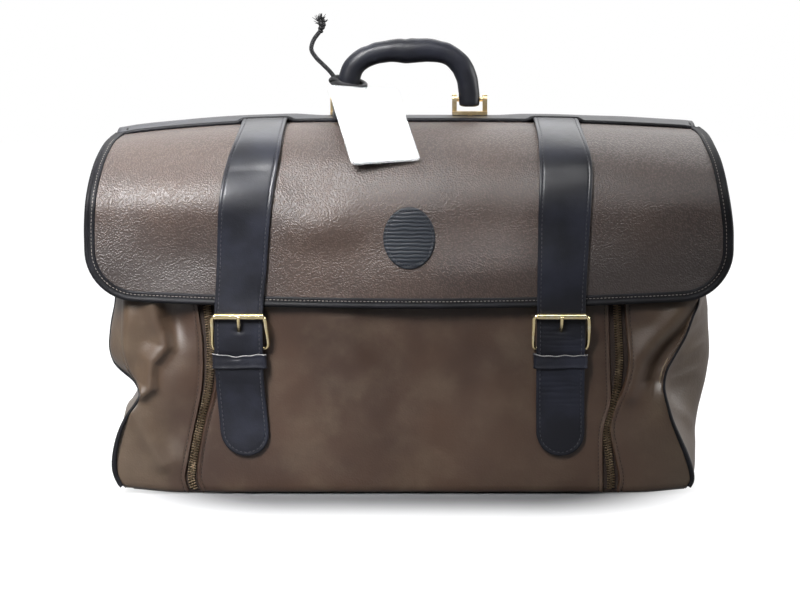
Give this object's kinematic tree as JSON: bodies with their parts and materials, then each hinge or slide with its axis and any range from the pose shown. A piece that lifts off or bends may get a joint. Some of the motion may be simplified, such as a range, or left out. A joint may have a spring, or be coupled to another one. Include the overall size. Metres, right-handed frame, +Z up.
{
  "type": "travel bag",
  "caption": "Travel bag with a buckled flap over a drop front between two zips, a padded top handle and a hanging luggage tag.",
  "frame": {"origin": "middle of the base, on the plane that the bag stands on", "axes": "+Z up, +X along the width to the right as seen from the front, -Y towards the front with the flap"},
  "size_m": [0.552, 0.2331, 0.4086],
  "materials": {
    "bag_leather": "satin",
    "flap_leather": "satin",
    "black_leather": "gloss",
    "binding_leather": "satin",
    "patch_leather": "satin",
    "lining_cloth": "matte",
    "board": "matte",
    "rope_core": "matte",
    "buckle_metal": "satin",
    "bracket_metal": "satin",
    "zip_metal": "satin",
    "zip_tape": "matte",
    "cord": "matte",
    "tag_film": "gloss",
    "tag_card": "matte"
  },
  "bodies": {
    "bag": {"back_panel": "bag_leather", "bottom_panel": "bag_leather", "base_board": "board", "top_panel": "bag_leather", "top_stiffener": "board", "left_gusset": "bag_leather", "right_gusset": "bag_leather", "front_side_left": "bag_leather", "front_side_right": "bag_leather", "back_lining": "lining_cloth", "bottom_lining": "lining_cloth", "side_linings": "lining_cloth", "piping_left": "binding_leather", "piping_right": "binding_leather", "top_piping": "binding_leather", "zip_tape_left_outer": "zip_tape", "zip_tape_right_outer": "zip_tape", "zip_teeth_left_outer": "zip_metal", "zip_teeth_right_outer": "zip_metal", "handle_bracket_left": "bracket_metal", "handle_bracket_right": "bracket_metal", "handle_pins": "bracket_metal", "bracket_rivets": "bracket_metal"},
    "front_panel_body": {"front_panel": "bag_leather", "front_panel_lining": "lining_cloth", "front_panel_binding": "binding_leather", "chape_left": "black_leather", "chape_right": "black_leather", "keeper_left": "black_leather", "keeper_right": "black_leather", "zip_tape_left_inner": "zip_tape", "zip_tape_right_inner": "zip_tape", "zip_teeth_left_inner": "zip_metal", "zip_teeth_right_inner": "zip_metal"},
    "flap": {"flap_panel": "flap_leather", "flap_lining": "lining_cloth", "flap_binding": "binding_leather", "flap_patch": "patch_leather", "strap_left": "black_leather", "strap_right": "black_leather", "strap_tail_left": "black_leather", "strap_tail_right": "black_leather"},
    "buckle_left": {"buckle_frame_left": "buckle_metal"},
    "buckle_right": {"buckle_frame_right": "buckle_metal"},
    "roller_left": {"buckle_roller_left": "buckle_metal"},
    "roller_right": {"buckle_roller_right": "buckle_metal"},
    "prong_left": {"buckle_prong_left": "buckle_metal"},
    "prong_right": {"buckle_prong_right": "buckle_metal"},
    "slider_left": {"zip_slider_left": "zip_metal"},
    "slider_right": {"zip_slider_right": "zip_metal"},
    "pull_left": {"zip_pull_left": "zip_metal"},
    "pull_right": {"zip_pull_right": "zip_metal"},
    "handle": {"handle_grip": "black_leather", "handle_core": "rope_core", "tag_cord_loop": "cord", "tag_cord_end": "cord", "tag_cord_tassel": "cord"},
    "tag": {"tag_sleeve": "tag_film", "tag_card": "tag_card"}
  },
  "joints": [
    {"name": "flap_lift", "type": "hinge", "parent": "bag", "child": "flap", "pos_m": [0, -0.0285, 0.31786], "axis": [-1, 0, 0], "range_deg": [0, 105], "deforming": ["strap_tail_left", "strap_tail_right"]},
    {"name": "front_panel_drop", "type": "hinge", "parent": "bag", "child": "front_panel_body", "pos_m": [0, -0.104, 0.0033], "axis": [1, 0, 0], "range_deg": [0, 60], "deforming": ["zip_tape_left_inner", "zip_tape_right_inner", "zip_teeth_left_inner", "zip_teeth_right_inner"]},
    {"name": "handle_swing", "type": "hinge", "parent": "bag", "child": "handle", "pos_m": [0, 0, 0.3358], "axis": [-1, 0, 0], "range_deg": [0, 75]},
    {"name": "tag_swing", "type": "hinge", "parent": "handle", "child": "tag", "pos_m": [-0.0425, -0.014, 0.35], "axis": [-1, 0, 0], "range_deg": [0, 100], "deforming": ["tag_cord_loop"]},
    {"name": "buckle_tilt_left", "type": "hinge", "parent": "front_panel_body", "child": "buckle_left", "pos_m": [-0.1445, -0.10825, 0.1275], "axis": [1, 0, 0], "range_deg": [0, 35]},
    {"name": "prong_swing_left", "type": "hinge", "parent": "buckle_left", "child": "prong_left", "pos_m": [-0.1445, -0.10825, 0.1275], "axis": [1, 0, 0], "range_deg": [0, 30]},
    {"name": "roller_spin_left", "type": "hinge", "parent": "buckle_left", "child": "roller_left", "pos_m": [-0.1445, -0.11955, 0.156], "axis": [1, 0, 0], "continuous": true},
    {"name": "buckle_tilt_right", "type": "hinge", "parent": "front_panel_body", "child": "buckle_right", "pos_m": [0.129, -0.10825, 0.1275], "axis": [1, 0, 0], "range_deg": [0, 35]},
    {"name": "prong_swing_right", "type": "hinge", "parent": "buckle_right", "child": "prong_right", "pos_m": [0.129, -0.10825, 0.1275], "axis": [1, 0, 0], "range_deg": [0, 30]},
    {"name": "roller_spin_right", "type": "hinge", "parent": "buckle_right", "child": "roller_right", "pos_m": [0.129, -0.11955, 0.156], "axis": [1, 0, 0], "continuous": true},
    {"name": "zip_slide_left", "type": "slide", "parent": "bag", "child": "slider_left", "axis": [0, 0, -1], "range_m": [0, 0.165]},
    {"name": "zip_pull_left", "type": "hinge", "parent": "slider_left", "child": "pull_left", "pos_m": [-0.176, -0.1053, 0.183], "axis": [-1, 0, 0], "range_deg": [0, 60]},
    {"name": "zip_slide_right", "type": "slide", "parent": "bag", "child": "slider_right", "axis": [0, 0, -1], "range_m": [0, 0.165]},
    {"name": "zip_pull_right", "type": "hinge", "parent": "slider_right", "child": "pull_right", "pos_m": [0.176, -0.1053, 0.183], "axis": [-1, 0, 0], "range_deg": [0, 60]}
  ],
  "couplings": [
    {"joint": "front_panel_drop", "follows": "flap_lift", "ratio": 0.56},
    {"joint": "tag_swing", "follows": "flap_lift", "ratio": 0.9},
    {"joint": "zip_pull_left", "follows": "zip_slide_left", "rad_per_m": 6.3},
    {"joint": "zip_pull_right", "follows": "zip_slide_right", "rad_per_m": 6.3}
  ]
}
